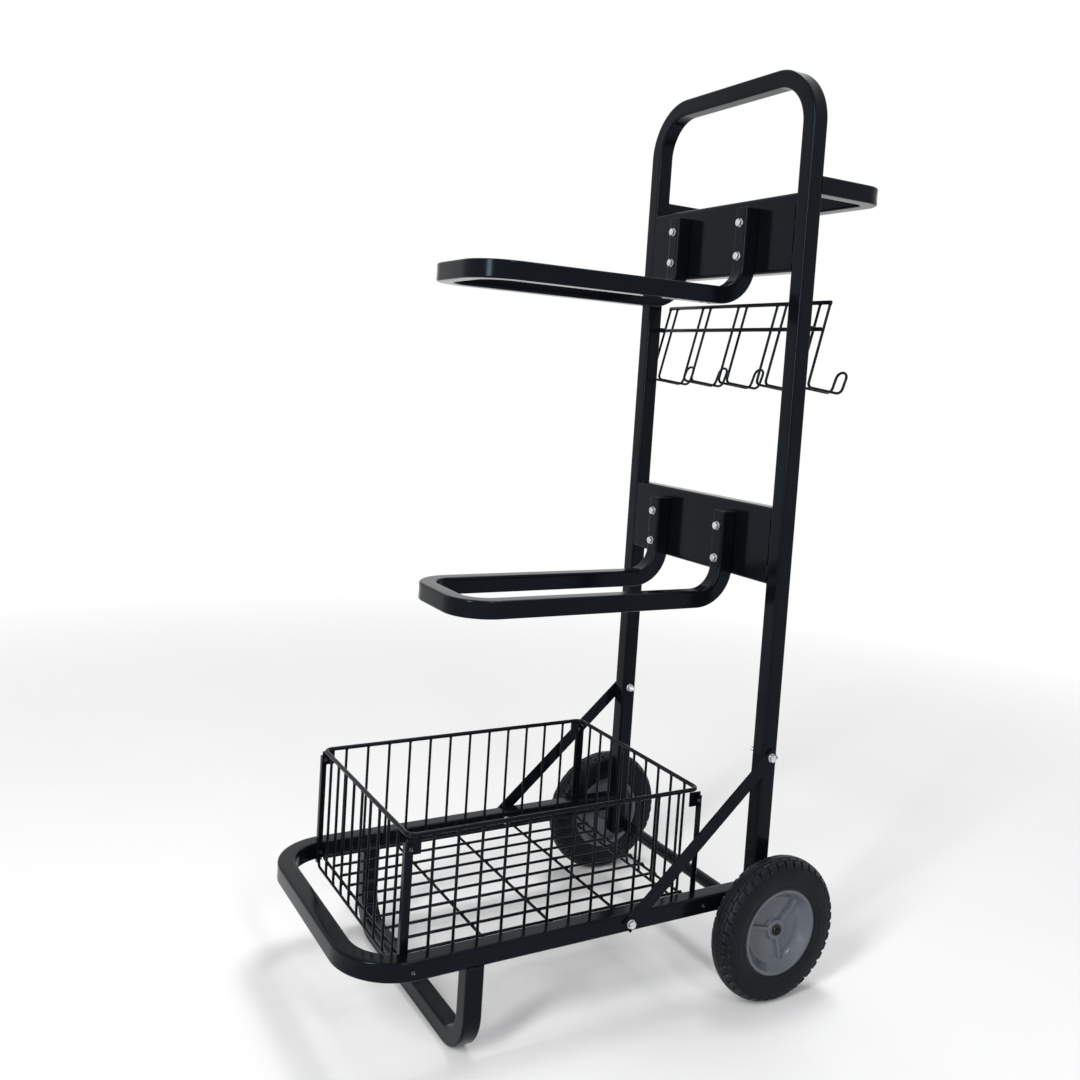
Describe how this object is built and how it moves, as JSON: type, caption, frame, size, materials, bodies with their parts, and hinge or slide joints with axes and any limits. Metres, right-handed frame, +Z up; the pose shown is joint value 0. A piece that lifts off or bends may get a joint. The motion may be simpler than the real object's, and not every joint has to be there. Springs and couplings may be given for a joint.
{
  "type": "tack cart",
  "caption": "Two-wheeled tack cart of bent black square tube with saddle racks, wire basket, bridle hooks, foot loop and push hoop.",
  "frame": {"origin": "on the floor, below the middle of the overall box", "axes": "+X across the cart to its right-hand wheel, -Y to the front bar, +Z up"},
  "size_m": [0.496, 0.751, 1.316],
  "materials": {
    "frame_paint": "satin black powder coat",
    "zinc_steel": "bright zinc plating",
    "hub_plastic": "dark grey moulded plastic, semi-gloss",
    "tyre_rubber": "matt black rubber",
    "black_plastic": "black moulded plastic",
    "bush_nylon": "natural nylon"
  },
  "bodies": {
    "cart": {"axle": "zinc_steel", "axle_cap_left": "black_plastic", "axle_cap_right": "black_plastic", "axle_tube": "frame_paint", "base_frame": "frame_paint", "basket_cross_wires": "frame_paint", "basket_floor_ring": "frame_paint", "basket_front_wires": "frame_paint", "basket_left_wires": "frame_paint", "basket_long_wires": "frame_paint", "basket_post_front_left": "frame_paint", "basket_post_front_right": "frame_paint", "basket_post_rear_left": "frame_paint", "basket_post_rear_right": "frame_paint", "basket_post_screw_nuts": "zinc_steel", "basket_post_screws": "zinc_steel", "basket_post_spacers": "frame_paint", "basket_rear_wires": "frame_paint", "basket_right_wires": "frame_paint", "basket_rim": "frame_paint", "basket_rim_screw_nuts": "zinc_steel", "basket_rim_screws": "zinc_steel", "basket_tabs": "frame_paint", "brace_bolts": "zinc_steel", "brace_left": "frame_paint", "brace_nuts": "zinc_steel", "brace_right": "frame_paint", "brace_washers": "zinc_steel", "bridle_hook_1": "frame_paint", "bridle_hook_2": "frame_paint", "bridle_hook_3": "frame_paint", "bridle_hook_4": "frame_paint", "bridle_hook_5": "frame_paint", "foot_loop": "frame_paint", "handle_frame": "frame_paint", "hook_mid_rail": "frame_paint", "hook_standoffs": "frame_paint", "hook_top_rail": "frame_paint", "lower_saddle_channel": "frame_paint", "lower_saddle_rack": "frame_paint", "push_hoop": "frame_paint", "rack_bolts": "zinc_steel", "rack_end_plugs": "black_plastic", "rack_nuts": "zinc_steel", "rack_washers": "zinc_steel", "upper_saddle_channel": "frame_paint", "upper_saddle_rack": "frame_paint", "upright_end_plugs": "black_plastic", "wheel_spacer_left": "zinc_steel", "wheel_spacer_right": "zinc_steel"},
    "wheel_right": {"wheel_hub_right": "hub_plastic", "wheel_tyre_right": "tyre_rubber", "wheel_bush_right": "bush_nylon"},
    "wheel_left": {"wheel_hub_left": "hub_plastic", "wheel_tyre_left": "tyre_rubber", "wheel_bush_left": "bush_nylon"}
  },
  "joints": [
    {"name": "wheel_right_spin", "type": "hinge", "parent": "cart", "child": "wheel_right", "pos_m": [0.229, 0.235, 0.103], "axis": [1, 0, 0], "continuous": true},
    {"name": "wheel_left_spin", "type": "hinge", "parent": "cart", "child": "wheel_left", "pos_m": [-0.229, 0.235, 0.103], "axis": [1, 0, 0], "continuous": true}
  ]
}
